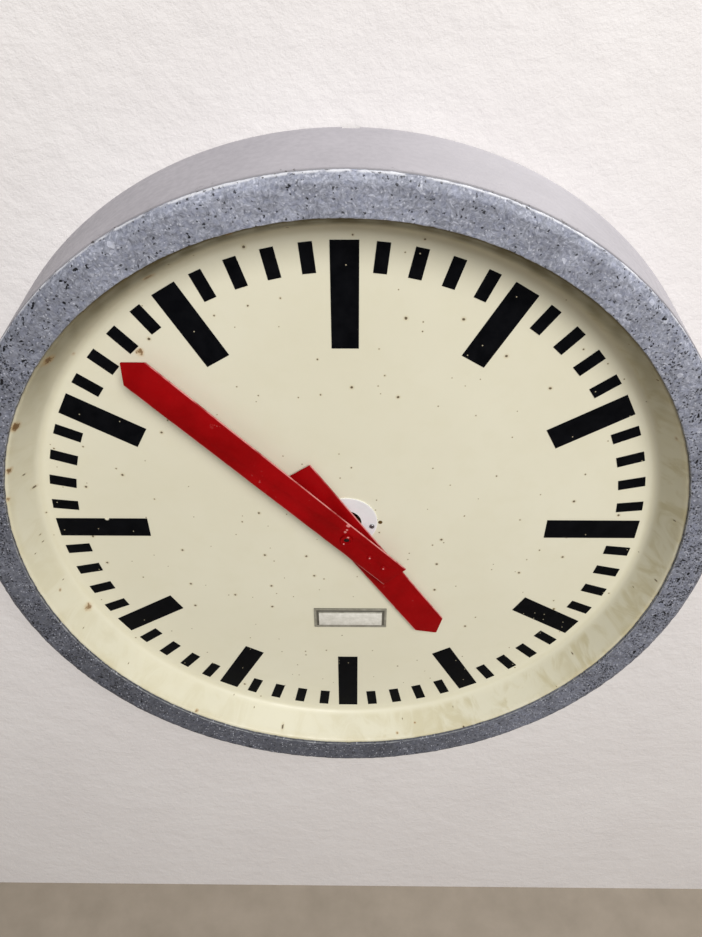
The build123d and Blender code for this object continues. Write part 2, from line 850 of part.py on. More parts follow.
def radial_rod(radius, inner, outer):
    """Rod pointing out from the axis at the set screw's angle."""
    middle = (minute_hub_depth + minute_hand_depth) / 2 - 0.4
    blank = Rot(-90, 0, 0) * Cylinder(radius, outer - inner, align=bottom_up)
    return Rot(0, 0, -set_screw_angle) * Pos(0, inner, middle) * blank


def hub_set_screw():
    seat = minute_hub_radius + running
    shank = radial_rod(m3[0], cannon_pipe_radius + running, seat)
    return shank + radial_rod(set_screw_head, seat, set_screw_reach)


def minute_counterweight():
    """Weight behind the tail that balances the long blade."""
    low = minute_hand_depth - weight_thick
    middle = -(weight_near + weight_far) / 2
    block = slab(weight_width, weight_far - weight_near, low, minute_hand_depth, 0, middle)
    block = chamfer(block.edges().group_by(Axis.Z)[0], 1)
    places = [(0, -reach) for reach in tail_rivets]
    return pointed(drill(block, places, rivet_radius + running, low, minute_hand_depth), minute_angle)


def tail_rivet_set():
    low = minute_hand_depth - weight_thick
    high = minute_hand_depth + hand_sheet
    return [pointed(rivet(low, high, 0, -reach), minute_angle) for reach in tail_rivets]


# Nodes

nodes = {
    "housing_drum": housing_drum,
    "front_ring": front_ring,
    "dial_pan": dial_pan,
    "quarter_markers": quarter_markers,
    "hour_markers": hour_markers,
    "minute_markers": minute_markers,
    "badge_plate": badge_plate,
    "dial_washer": dial_washer,
    "washer_screws": washer_screws,
    "dial_spacers": dial_spacers,
    "ring_screws": ring_screws,
    "back_plate": back_plate,
    "back_screws": back_screws,
    "hanger_bar": hanger_bar,
    "bar_rivets": bar_rivets,
    "cable_gland": cable_gland,
    "terminal_block": terminal_block,
    "terminal_screws": terminal_screws,
    "rear_plate": rear_plate,
    "front_plate": front_plate,
    "plate_pillars": pillars,
    "plate_screws": plate_screws,
    "mounting_posts": mounting_posts,
    "post_nuts": post_nuts,
    "dust_band": dust_band,
    "arbor_bushes": arbor_bushes,
    "yoke": yoke,
    "yoke_studs": yoke_studs,
    "yoke_nuts": yoke_nuts,
    "coil_bobbin": coil_bobbin,
    "coil_winding": coil_winding,
    "rotor_magnet": rotor_magnet,
    "rotor_pinion": rotor_pinion,
    "intermediate_pinion": intermediate_pinion,
    "intermediate_wheel": intermediate_wheel,
    "centre_arbor": centre_arbor,
    "centre_wheel": centre_wheel,
    "wheel_collet": wheel_collet,
    "cannon_pinion": cannon_pinion,
    "motion_stud": motion_stud,
    "stud_collar": stud_collar,
    "stud_clip": stud_clip,
    "minute_wheel": minute_wheel,
    "minute_pinion": minute_pinion,
    "hour_wheel": hour_wheel,
    "hour_pipe": hour_pipe,
    "hour_hand": hour_hand,
    "hour_hub": hour_hub,
    "hour_hub_rivets": hour_hub_rivets,
    "minute_hand": minute_hand,
    "minute_hub": minute_hub,
    "hub_set_screw": hub_set_screw,
    "minute_counterweight": minute_counterweight,
    "tail_rivets": tail_rivet_set,
}

os.makedirs("parts", exist_ok=True)
for name, build in nodes.items():
    made = build()
    pieces = made if isinstance(made, list) else made.solids()
    stood = [Rot(90, 0, 0) * piece.solid() for piece in pieces]
    export_step(stood[0] if len(stood) == 1 else Compound(children=stood), f"parts/{name}.step")
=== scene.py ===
import bpy
import math
import random
import numpy as np
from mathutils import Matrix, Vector


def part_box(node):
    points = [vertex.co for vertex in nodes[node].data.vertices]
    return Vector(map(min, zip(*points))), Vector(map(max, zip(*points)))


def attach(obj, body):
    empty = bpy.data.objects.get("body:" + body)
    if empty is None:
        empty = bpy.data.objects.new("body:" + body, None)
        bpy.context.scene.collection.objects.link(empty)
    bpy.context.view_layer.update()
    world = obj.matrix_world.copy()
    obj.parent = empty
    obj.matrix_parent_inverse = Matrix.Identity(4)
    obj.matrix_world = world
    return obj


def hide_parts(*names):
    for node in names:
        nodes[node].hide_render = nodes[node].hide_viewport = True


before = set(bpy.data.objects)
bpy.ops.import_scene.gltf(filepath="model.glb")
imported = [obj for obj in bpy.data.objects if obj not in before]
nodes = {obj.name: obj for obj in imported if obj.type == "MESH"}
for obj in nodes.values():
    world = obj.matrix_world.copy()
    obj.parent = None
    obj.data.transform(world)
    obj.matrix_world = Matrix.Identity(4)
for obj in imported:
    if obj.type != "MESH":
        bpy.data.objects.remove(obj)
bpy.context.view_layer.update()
dice = random.Random(7)
print("frame loaded,", len(nodes), "parts")


# small helpers

def deselectAll():
    if bpy.context.object and bpy.context.object.mode != "OBJECT":
        bpy.ops.object.mode_set(mode="OBJECT")
    bpy.ops.object.select_all(action="DESELECT")


def pick(piece):
    deselectAll()
    piece.select_set(True)
    bpy.context.view_layer.objects.active = piece


def placeForGood(piece):
    pick(piece)
    bpy.ops.object.transform_apply(location=True, rotation=True, scale=True)


def applyModifiers(piece):
    pick(piece)
    for modifier in list(piece.modifiers):
        bpy.ops.object.modifier_apply(modifier=modifier.name)


def cutWith(piece, cutter):  # boolean difference, the cutter is thrown away
    modifier = piece.modifiers.new("cut", "BOOLEAN")
    modifier.operation = "DIFFERENCE"
    modifier.solver = "EXACT"
    modifier.object = cutter
    applyModifiers(piece)
    bpy.data.objects.remove(cutter)


def softenEdges(piece, width, segments=2, angle=40):
    modifier = piece.modifiers.new("soften", "BEVEL")
    modifier.width = width
    modifier.segments = segments
    modifier.limit_method = "ANGLE"
    modifier.angle_limit = math.radians(angle)
    applyModifiers(piece)


def finishPiece(piece, name, body, material, replaced, smoothAngle=35):
    placeForGood(piece)
    bpy.ops.object.shade_smooth_by_angle(angle=math.radians(smoothAngle))
    piece.name = name
    piece.data.name = name
    piece.data.materials.clear()
    piece.data.materials.append(material)
    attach(piece, body)
    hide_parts(*replaced)
    print("made", name, len(piece.data.polygons), "faces")


def roundedOutline(corners, step):  # corners are (radius, depth, bend), the run between them is cut to step
    points = []
    count = len(corners)
    for index, (radius, depth, bend) in enumerate(corners):
        here = np.array((radius, depth))
        before = np.array(corners[index - 1][:2])
        after = np.array(corners[(index + 1) % count][:2])
        if bend == 0:
            points.append(here)
            continue
        toBefore = (before - here) / np.linalg.norm(before - here)
        toAfter = (after - here) / np.linalg.norm(after - here)
        half = math.acos(np.clip(toBefore @ toAfter, -1, 1)) / 2
        reach = bend / math.tan(half)
        centre = here + (toBefore + toAfter) / np.linalg.norm(toBefore + toAfter) * bend / math.sin(half)
        start = here + toBefore * reach - centre
        end = here + toAfter * reach - centre
        sweep = math.atan2(start[0] * end[1] - start[1] * end[0], start @ end)
        pieces = max(3, math.ceil(abs(sweep) * bend / step))
        for number in range(pieces + 1):
            turn = sweep * number / pieces
            cosTurn, sinTurn = math.cos(turn), math.sin(turn)
            spoke = (start[0] * cosTurn - start[1] * sinTurn, start[0] * sinTurn + start[1] * cosTurn)
            points.append(centre + spoke)
    outline = []
    for index, point in enumerate(points):
        following = points[(index + 1) % len(points)]
        runs = max(1, math.ceil(np.linalg.norm(following - point) / step))
        outline += [point + (following - point) * part / runs for part in range(runs)]
    return [(float(radius), float(depth)) for radius, depth in outline]


def turnOutline(outline, steps):  # a circle about the clock's axis, extruded and resized along the outline
    deselectAll()
    radius, depth = outline[0]
    bpy.ops.mesh.primitive_circle_add(
        vertices=steps, radius=radius, location=(0, -depth, 0), rotation=(math.pi / 2, 0, 0)
    )
    piece = bpy.context.object
    bpy.ops.object.transform_apply(location=True, rotation=True, scale=True)
    bpy.ops.object.mode_set(mode="EDIT")
    bpy.ops.mesh.select_mode(type="EDGE")
    bpy.ops.mesh.select_all(action="SELECT")
    for (oldRadius, oldDepth), (radius, depth) in zip(outline, outline[1:]):
        bpy.ops.mesh.extrude_region_move(TRANSFORM_OT_translate={"value": (0, oldDepth - depth, 0)})
        grow = radius / oldRadius
        bpy.ops.transform.resize(value=(grow, 1, grow), center_override=(0, 0, 0))
    bpy.ops.mesh.select_all(action="DESELECT")
    bpy.ops.mesh.select_non_manifold(extend=False, use_wire=False, use_multi_face=False,
                                     use_non_contiguous=False, use_verts=False)
    bpy.ops.mesh.bridge_edge_loops()
    bpy.ops.mesh.select_all(action="SELECT")
    bpy.ops.mesh.normals_make_consistent(inside=False)
    bpy.ops.object.mode_set(mode="OBJECT")
    return piece


def roughen(piece, name, size, depth, detail=2):  # lowers the surface by soft noise, never raises it
    texture = bpy.data.textures.new(name, "CLOUDS")
    texture.noise_scale = size
    texture.noise_depth = detail
    modifier = piece.modifiers.new(name, "DISPLACE")
    modifier.texture = texture
    modifier.texture_coords = "LOCAL"
    modifier.strength = depth
    modifier.mid_level = 1.0
    applyModifiers(piece)


def readVertices(piece, key):  # one row of three for each vertex
    values = np.zeros(len(piece.data.vertices) * 3)
    piece.data.vertices.foreach_get(key, values)
    return values.reshape(-1, 3)


def depthsOf(node):  # how far the node's back and front stand off the wall
    low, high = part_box(node)
    return -high[1], -low[1]


def editFaces(piece, chosen):  # opens edit mode with only the faces that chosen says yes to
    placeForGood(piece)
    bpy.ops.object.mode_set(mode="EDIT")
    bpy.ops.mesh.select_mode(type="FACE")
    bpy.ops.mesh.select_all(action="DESELECT")
    bpy.ops.object.mode_set(mode="OBJECT")
    for face in piece.data.polygons:
        face.select = chosen(face.normal)
    bpy.ops.object.mode_set(mode="EDIT")


def addBlock(place, size):
    deselectAll()
    bpy.ops.mesh.primitive_cube_add(size=1, location=place, scale=size)
    return bpy.context.object


def cutHole(piece, place, radius, length, sides):  # round hole from front to back
    deselectAll()
    bpy.ops.mesh.primitive_cylinder_add(
        vertices=sides, radius=radius, depth=length, location=place, rotation=(math.pi / 2, 0, 0)
    )
    cutWith(piece, bpy.context.object)


def atClock(radius, angle):  # angle in degrees, clockwise from twelve
    turn = math.radians(angle)
    return radius * math.sin(turn), radius * math.cos(turn)


# camera

view = {"place": (0.01198, -0.64615, 0.51366), "pitch": 53.72, "roll": 0.155, "yaw": 0.575, "lens": 27.21}
cameraData = bpy.data.cameras.new("camera")
cameraData.lens = view["lens"]
cameraData.sensor_width = 36
cameraData.clip_start = 0.01
camera = bpy.data.objects.new("camera", cameraData)
camera.location = view["place"]
camera.rotation_euler = [math.radians(view[key]) for key in ("pitch", "roll", "yaw")]
bpy.context.scene.collection.objects.link(camera)
bpy.context.scene.camera = camera


# material helpers

class Finish:  # one procedural material, read on Object coordinates
    def __init__(self, name, roughness=0.5, metallic=0.0, specular=0.5):
        self.material = bpy.data.materials.new(name)
        self.material.use_nodes = True
        self.tree = self.material.node_tree
        self.shader = self.tree.nodes["Principled BSDF"]
        self.shader.inputs["Roughness"].default_value = roughness
        self.shader.inputs["Metallic"].default_value = metallic
        self.shader.inputs["Specular IOR Level"].default_value = specular
        self.place = self.tree.nodes.new("ShaderNodeTexCoord").outputs["Object"]

    def link(self, source, target):
        if hasattr(source, "links"):
            self.tree.links.new(source, target)
        else:
            target.default_value = source

    def stretched(self, scale, offset=(0, 0, 0)):
        mapping = self.tree.nodes.new("ShaderNodeMapping")
        mapping.inputs["Scale"].default_value = scale
        mapping.inputs["Location"].default_value = offset
        self.tree.links.new(self.place, mapping.inputs["Vector"])
        return mapping.outputs["Vector"]

    def noise(self, scale, detail=3, rough=0.5, distortion=0.0, place=None):
        node = self.tree.nodes.new("ShaderNodeTexNoise")
        node.inputs["Scale"].default_value = scale
        node.inputs["Detail"].default_value = detail
        node.inputs["Roughness"].default_value = rough
        node.inputs["Distortion"].default_value = distortion
        self.tree.links.new(place or self.place, node.inputs["Vector"])
        return node.outputs["Fac"]

    def flatPlace(self, shift):  # the clock's face seen flat, moved by shift
        parts = self.tree.nodes.new("ShaderNodeSeparateXYZ")
        self.tree.links.new(self.place, parts.inputs[0])
        flat = self.tree.nodes.new("ShaderNodeCombineXYZ")
        self.tree.links.new(self.maths("ADD", parts.outputs[0], shift), flat.inputs[0])
        self.tree.links.new(self.maths("ADD", parts.outputs[2], shift), flat.inputs[1])
        return flat.outputs[0]

    def cells(self, scale, flatShift=None):  # distance to the cell's middle, and the cell's own random number
        node = self.tree.nodes.new("ShaderNodeTexVoronoi")
        node.inputs["Scale"].default_value = scale
        if flatShift is None:
            self.tree.links.new(self.place, node.inputs["Vector"])
        else:
            node.voronoi_dimensions = "2D"
            self.tree.links.new(self.flatPlace(flatShift), node.inputs["Vector"])
        split = self.tree.nodes.new("ShaderNodeSeparateColor")
        self.tree.links.new(node.outputs["Color"], split.inputs[0])
        return node.outputs["Distance"], split.outputs[0]

    def strokes(self, scale, length, turn):  # noise drawn out along one direction on the clock's face
        mapping = self.tree.nodes.new("ShaderNodeMapping")
        mapping.vector_type = "TEXTURE"
        mapping.inputs["Rotation"].default_value = (0, math.radians(turn), 0)
        mapping.inputs["Scale"].default_value = (length, 1, 1)
        mapping.inputs["Location"].default_value = (turn * 0.013, 0, 0)
        self.tree.links.new(self.place, mapping.inputs["Vector"])
        return self.noise(scale, 2, 0.55, 0.4, mapping.outputs["Vector"])

    def times(self, *factors):
        product = factors[0]
        for factor in factors[1:]:
            product = self.maths("MULTIPLY", product, factor)
        return product

    def maths(self, operation, first, second=0.0):
        node = self.tree.nodes.new("ShaderNodeMath")
        node.operation = operation
        for source, target in zip((first, second), node.inputs):
            self.link(source, target)
        return node.outputs[0]

    def fade(self, source, low, high, start=0.0, end=1.0):  # smooth step from start to end
        node = self.tree.nodes.new("ShaderNodeMapRange")
        node.interpolation_type = "SMOOTHSTEP"
        for value, key in ((low, "From Min"), (high, "From Max"), (start, "To Min"), (end, "To Max")):
            node.inputs[key].default_value = value
        self.link(source, node.inputs["Value"])
        return node.outputs["Result"]

    def ramp(self, source, stops):
        node = self.tree.nodes.new("ShaderNodeValToRGB")
        elements = node.color_ramp.elements
        elements[0].position, elements[1].position = stops[0][0], stops[-1][0]
        elements[0].color, elements[1].color = (*stops[0][1], 1), (*stops[-1][1], 1)
        for place, colour in stops[1:-1]:
            elements.new(place).color = (*colour, 1)
        self.tree.links.new(source, node.inputs["Fac"])
        return node.outputs["Color"]

    def mix(self, factor, first, second, kind="MIX"):
        node = self.tree.nodes.new("ShaderNodeMix")
        node.data_type = "RGBA"
        node.blend_type = kind
        self.link(factor, node.inputs[0])
        for source, target in ((first, node.inputs[6]), (second, node.inputs[7])):
            self.link((*source, 1) if isinstance(source, tuple) else source, target)
        return node.outputs[2]

    def attribute(self, name):
        node = self.tree.nodes.new("ShaderNodeAttribute")
        node.attribute_name = name
        return node.outputs["Fac"]

    def coordinate(self, axis):
        node = self.tree.nodes.new("ShaderNodeSeparateXYZ")
        self.tree.links.new(self.place, node.inputs[0])
        return node.outputs[axis]

    def radius(self, x=0.0, z=0.0):  # distance from the clock's axis, or from another point on its face
        flat = self.tree.nodes.new("ShaderNodeVectorMath")
        flat.operation = "LENGTH"
        self.tree.links.new(self.stretched((1, 0, 1), (-x, 0, -z)), flat.inputs[0])
        return flat.outputs["Value"]

    def distanceTo(self, point):
        node = self.tree.nodes.new("ShaderNodeVectorMath")
        node.operation = "DISTANCE"
        self.tree.links.new(self.place, node.inputs[0])
        node.inputs[1].default_value = point
        return node.outputs["Value"]

    def bump(self, height, depth, strength=1.0, under=None):
        node = self.tree.nodes.new("ShaderNodeBump")
        node.inputs["Distance"].default_value = depth
        node.inputs["Strength"].default_value = strength
        self.tree.links.new(height, node.inputs["Height"])
        if under:
            self.tree.links.new(under, node.inputs["Normal"])
        return node.outputs["Normal"]

    def dress(self, colour=None, roughness=None, normal=None):
        for source, key in ((colour, "Base Color"), (roughness, "Roughness"), (normal, "Normal")):
            if source is not None:
                self.link((*source, 1) if isinstance(source, tuple) else source, self.shader.inputs[key])
        return self.material


# front ring: rough casting, hammered blue-grey paint, pits, chips, a worn outer edge with a painted
# highlight, and painted shade low down and on the sides

ringSettings = {
    "corners": (
        (0.347, 0.0948, 0), (0.347, 0.0992, 0.0018), (0.3765, 0.1030, 0.007),
        (0.3832, 0.0978, 0.0022), (0.3832, 0.0933, 0), (0.379, 0.0933, 0), (0.379, 0.0948, 0),
    ),
    "step": 0.0011,
    "turns": 1190,
    "lumps": (0.011, 0.0012),  # noise size, depth
    "grain": (0.0035, 0.0007, 3),  # and detail
    "pitAreas": (  # from and to clock angle, how many clusters
        (262, 316, 34), (225, 262, 12), (58, 116, 30), (116, 140, 9),
        (316, 345, 7), (15, 58, 6), (345, 375, 2), (195, 222, 5),
    ),
    "pitBand": (0.351, 0.3828, 0.376),  # inner, outer and likeliest radius
    "pitCounts": (1, 1, 2, 3),
    "pitSize": (0.0007, 0.0013), "pitDepth": 0.0012, "pitStride": (0.0012, 0.0026),
    "pitWander": 0.9,  # turn from one pit to the next, in radians
    "pitReach": 3,  # how far round a cluster can spread, in degrees
}

ringLook = {
    "patches": 235,  # cells to the metre, each with its strokes in one of the four directions
    "strokeTurns": (18, 63, 108, 152), "strokeScale": 470, "strokeLength": 2.3,
    "dark": (0.150, 0.162, 0.205), "middle": (0.285, 0.300, 0.362), "light": (0.50, 0.52, 0.60),
    "cool": (0.24, 0.26, 0.36),
    "paintedShadeHeights": (-0.40, 0.20), "paintedShadeRange": (0.33, 1.04),  # painted shade: darker low down, lighter at the top
    "leftSide": (-0.38, -0.1), "rightSide": (0.38, 0.2), "lowRight": (0.05, 0.28),
    "flecks": ((300, 3.3, 0.34), (440, 8.2, 0.36)),  # cells to the metre, shift, reach as a part of a cell
    "crowding": 0.46, "fleckLuck": 0.955, "fleckColour": (0.008, 0.009, 0.013),
    "glints": (410, 6.1), "glintLuck": 0.88, "glintColour": (0.60, 0.62, 0.70),
    "wornAndHighlightRadii": (0.3808, 0.3824), "wornAndHighlightDepths": (-0.0935, -0.0950), "wornAndHighlightHeights": (0.05, 0.26),
    "bareAndHighlight": (0.72, 0.73, 0.77),
    "chipRadii": (0.3795, 0.3822), "chipColour": (0.035, 0.036, 0.042),
    "lipHighlightRadii": (0.3476, 0.3488), "lipHighlightDepths": (-0.097, -0.0985), "lipHighlightColour": (0.60, 0.61, 0.62),
    "pitColour": (0.006, 0.007, 0.010),
}


def hammeredStrokes(finish):  # each patch takes its strokes in one direction
    turns = ringLook["strokeTurns"]
    _, luck = finish.cells(ringLook["patches"])
    share = 1 / len(turns)
    strokes = None
    for number, turn in enumerate(turns):
        mine = finish.times(finish.maths("GREATER_THAN", luck, number * share - 0.001),
                            finish.maths("LESS_THAN", luck, (number + 1) * share))
        part = finish.times(finish.strokes(ringLook["strokeScale"], ringLook["strokeLength"], turn), mine)
        strokes = part if strokes is None else finish.maths("ADD", strokes, part)
    return strokes


def ringToneAndPaintedShade(finish):  # painted shade: the top lighter, the bottom and the two sides darker, a little lighter low on the right, over a random broad tone
    look = ringLook
    sideways, height = finish.coordinate("X"), finish.coordinate("Z")
    broad = finish.fade(finish.noise(26, 3, 0.6), 0.35, 0.65, 0.86, 1.1)
    # painted shade, darker towards the bottom and on both sides, lighter at the top
    grimeAndShade = finish.fade(height, *look["paintedShadeHeights"], *look["paintedShadeRange"])
    left = finish.fade(sideways, *look["leftSide"], 0.56, 1.0)
    right = finish.fade(sideways, *look["rightSide"], 0.86, 1.0)
    lowRight = finish.times(finish.fade(sideways, *look["lowRight"]), finish.fade(height, 0.0, -0.2))
    grimeAndShade = finish.maths("ADD", grimeAndShade, finish.times(lowRight, 0.2))
    shade = finish.tree.nodes.new("ShaderNodeCombineColor")
    tone = finish.times(broad, grimeAndShade, left, right)
    for socket in shade.inputs:
        finish.link(tone, socket)
    return shade.outputs[0]


def ringFlecks(finish, colour):  # small dark chips, crowded on the two sides, and pale glints between them
    look = ringLook
    sideways = finish.coordinate("X")
    sides = finish.fade(finish.times(sideways, sideways), 0.045, 0.115)
    clump = finish.fade(finish.noise(75, 3, 0.6), 0.40, 0.58)
    uneven = finish.times(finish.maths("SUBTRACT", finish.noise(720, 3, 0.6), 0.5), 1.7)
    for scale, shift, reach in look["flecks"]:
        gap, luck = finish.cells(scale, shift)
        crowd = finish.maths("ADD", luck, finish.times(sides, clump, look["crowding"]))
        chip = finish.times(finish.fade(finish.maths("ADD", gap, uneven), reach * 0.7, reach, 1.0, 0.0),
                            finish.maths("GREATER_THAN", crowd, look["fleckLuck"]))
        colour = finish.mix(finish.times(chip, 0.88), colour, look["fleckColour"])
    gap, luck = finish.cells(*look["glints"])
    glint = finish.times(finish.fade(finish.maths("ADD", gap, uneven), 0.16, 0.30, 1.0, 0.0),
                         finish.maths("GREATER_THAN", luck, look["glintLuck"]))
    return finish.mix(finish.times(glint, 0.6), colour, look["glintColour"])


def ringEdges(finish, colour):  # worn bare metal with a painted highlight and chips on the outer edge, a painted highlight on the inner lip
    look = ringLook
    edge, depth = finish.radius(), finish.coordinate("Y")
    patchy = finish.fade(finish.noise(70, 4, 0.6), 0.38, 0.5)
    # worn bare metal and a painted highlight along the outer edge, only near the top
    worn = finish.times(finish.fade(edge, *look["wornAndHighlightRadii"]), finish.fade(depth, *look["wornAndHighlightDepths"]),
                        patchy, finish.fade(finish.coordinate("Z"), *look["wornAndHighlightHeights"]))
    colour = finish.mix(finish.times(worn, 0.8), colour, look["bareAndHighlight"])
    chips = finish.times(finish.fade(edge, *look["chipRadii"]),
                         finish.fade(finish.noise(230, 4, 0.65), 0.60, 0.65))
    colour = finish.mix(chips, colour, look["chipColour"])
    # painted highlight along the inner lip edge
    lipHighlight = finish.times(finish.fade(edge, *look["lipHighlightRadii"], 1.0, 0.0), finish.fade(depth, *look["lipHighlightDepths"]))
    return finish.mix(finish.times(lipHighlight, 0.55), colour, look["lipHighlightColour"])


def castRingFinish():
    look = ringLook
    finish = Finish("roughCastPaint", 0.5, 0.0, 0.35)
    crystals = hammeredStrokes(finish)
    speckle = finish.noise(260, 5, 0.65, 0.6)
    blend = finish.maths("ADD", finish.times(crystals, 0.70), finish.times(speckle, 0.30))
    colour = finish.ramp(blend, [
        (0.34, look["dark"]), (0.44, tuple(0.80 * part for part in look["middle"])),
        (0.51, look["middle"]), (0.58, tuple(1.18 * part for part in look["middle"])),
        (0.70, look["light"]),
    ])
    _, hue = finish.cells(300)
    colour = finish.mix(finish.fade(hue, 0.45, 0.95, 0.0, 0.35), colour, look["cool"])
    colour = finish.mix(1.0, colour, ringToneAndPaintedShade(finish), "MULTIPLY")
    colour = ringFlecks(finish, colour)
    colour = ringEdges(finish, colour)
    uneven = finish.times(finish.maths("SUBTRACT", finish.noise(680, 3, 0.6), 0.5), 1.5)
    pit = finish.fade(finish.maths("ADD", finish.attribute("pit"), uneven), 0.30, 0.44)
    colour = finish.mix(pit, colour, look["pitColour"])
    roughness = finish.fade(speckle, 0.3, 0.7, 0.42, 0.66)
    fine = finish.bump(crystals, 0.0008, 0.8)
    wide = finish.bump(finish.noise(170, 4, 0.6), 0.0011, 0.6, fine)
    return finish.dress(colour, roughness, wide)


def makePits(piece):  # sinks clusters of small pits and keeps their depth as an attribute
    settings = ringSettings
    wander, shortest, longest = settings["pitWander"], *settings["pitStride"]
    points = readVertices(piece, "co")
    normals = readVertices(piece, "normal")
    around = np.degrees(np.arctan2(points[:, 0], points[:, 2])) % 360
    pit = np.zeros(len(points))
    for first, last, count in settings["pitAreas"]:
        for _ in range(count):
            angle = dice.uniform(first, last)
            across = dice.triangular(*settings["pitBand"])
            x, z = atClock(across, angle)
            near = np.abs((around - angle + 180) % 360 - 180) < settings["pitReach"]
            heading = math.radians(angle + 90 + dice.uniform(-50, 50))
            for _ in range(dice.choice(settings["pitCounts"])):
                size = dice.uniform(*settings["pitSize"])
                gap = np.hypot(points[near, 0] - x, points[near, 2] - z)
                depth = np.clip(1.4 - gap / size, 0, 1)
                pit[near] = np.maximum(pit[near], depth * (normals[near, 1] < 0.2))
                heading += dice.uniform(-wander, wander)
                x += dice.uniform(shortest, longest) * math.sin(heading)
                z += dice.uniform(shortest, longest) * math.cos(heading)
    points -= normals * (pit * settings["pitDepth"])[:, None]
    piece.data.vertices.foreach_set("co", points.ravel())
    store = piece.data.attributes.new("pit", "FLOAT", "POINT")
    store.data.foreach_set("value", pit.astype(np.float32))
    piece.data.update()


def makeFrontRing():
    settings = ringSettings
    ring = turnOutline(roundedOutline(settings["corners"], settings["step"]), settings["turns"])
    roughen(ring, "castLumps", *settings["lumps"])
    roughen(ring, "castGrain", *settings["grain"])
    makePits(ring)
    finishPiece(ring, "castFrontRing", "case", castRingFinish(), ["front_ring"], 60)


makeFrontRing()


# housing drum: smooth pale grey sheet, slightly wavy, with the cable notch in its rear rim

drumSettings = {
    "corners": (
        (0.394, 0.0, 0.0007), (0.3836, 0.0933, 0.0012), (0.362, 0.0933, 0), (0.362, 0.0913, 0),
        (0.38182, 0.0913, 0.002), (0.39089, 0.010, 0), (0.372, 0.010, 0), (0.372, 0.008, 0),
        (0.39111, 0.008, 0), (0.392, 0.0, 0.0007),
    ),
    "step": 0.006,
    "turns": 420,
    "notch": (0.015, 0.008, 0.014), "notchPlace": (0.0053, 0, 0.393),
    "waves": (0.16, 0.0005),  # noise size, depth
}

drumLook = {
    "grey": ((0.315, 0.302, 0.330), (0.365, 0.350, 0.380)), "fine": (0.27, 0.258, 0.28),
    "scuff": (0.44, 0.425, 0.45), "grimeAndShade": (0.16, 0.155, 0.16), "chip": (0.07, 0.065, 0.065),
    "grimeDepths": (-0.0905, -0.0935), "chipDepths": (-0.084, -0.092),  # beside the ring
}


def drumFinish():
    look = drumLook
    finish = Finish("drumEnamel", 0.5, 0.0, 0.35)
    dark, light = look["grey"]
    colour = finish.ramp(finish.noise(14, 4, 0.6), [(0.3, dark), (0.7, light)])
    fine = finish.noise(160, 3)
    colour = finish.mix(finish.fade(fine, 0.35, 0.75, 0.0, 0.2), colour, look["fine"])
    scuff = finish.fade(finish.noise(48, 5, 0.7, 0.5, finish.stretched((1, 3.5, 1))), 0.62, 0.7)
    colour = finish.mix(finish.times(scuff, 0.3), colour, look["scuff"])
    depth = finish.coordinate("Y")
    grimeAndShade = finish.fade(depth, *look["grimeDepths"])
    colour = finish.mix(finish.times(grimeAndShade, 0.5), colour, look["grimeAndShade"])
    chips = finish.times(finish.fade(depth, *look["chipDepths"]),
                         finish.fade(finish.noise(120, 4, 0.7), 0.62, 0.66))
    colour = finish.mix(chips, colour, look["chip"])
    roughness = finish.fade(fine, 0.3, 0.7, 0.42, 0.58)
    normal = finish.bump(finish.noise(260, 4, 0.6), 0.0003, 0.5)
    return finish.dress(colour, roughness, normal)


def makeDrum():
    settings = drumSettings
    drum = turnOutline(roundedOutline(settings["corners"], settings["step"]), settings["turns"])
    roughen(drum, "sheetWaves", *settings["waves"])
    cutWith(drum, addBlock(settings["notchPlace"], settings["notch"]))
    finishPiece(drum, "housingDrum", "case", drumFinish(), ["housing_drum"], 30)


makeDrum()


# dial pan: pressed and enamelled cream, with the dished rim, specks, stains and a yellowed edge

dialSettings = {
    "corners": (
        (0.009, 0.057, 0), (0.329, 0.057, 0.008), (0.3465, 0.0948, 0.0045), (0.3785, 0.0948, 0),
        (0.3785, 0.0933, 0), (0.34746, 0.0933, 0.003), (0.32996, 0.0555, 0.0095), (0.009, 0.0555, 0),
    ),
    "step": 0.004,
    "turns": 300,
    "hole": 0.018,
    "stains": (  # radius, clock angle, depth, size, strength
        (0.334, 330.2, 0.068, 0.0075, 0.85), (0.286, 318.4, 0.057, 0.0055, 0.8),
        (0.3430, 310.0, 0.087, 0.0095, 0.95), (0.345, 296.3, 0.091, 0.0085, 0.95),
        (0.3455, 287.3, 0.091, 0.0060, 0.85), (0.3325, 248.8, 0.064, 0.0070, 0.75),
        (0.3300, 310.3, 0.058, 0.0032, 0.7), (0.346, 281.3, 0.094, 0.0045, 0.6),
        (0.338, 256.6, 0.077, 0.0030, 0.5), (0.343, 66.0, 0.087, 0.0040, 0.45),
        (0.346, 214.6, 0.092, 0.0035, 0.7), (0.3434, 168.9, 0.088, 0.0030, 0.8),
        (0.3394, 164.6, 0.079, 0.0022, 0.8), (0.346, 345.0, 0.093, 0.0040, 0.6),
    ),
    "chip": (77.1, 0.0376, 0.0020),  # clock angle, radius, size
    "speckLayers": (  # cells to the metre, shift, share of cells, size as a part of a cell
        (21, 1.0, 0.26, 0.031), (33, 5.3, 0.14, 0.030), (52, 9.7, 0.07, 0.036), (75, 2.9, 0.045, 0.040),
    ),
}

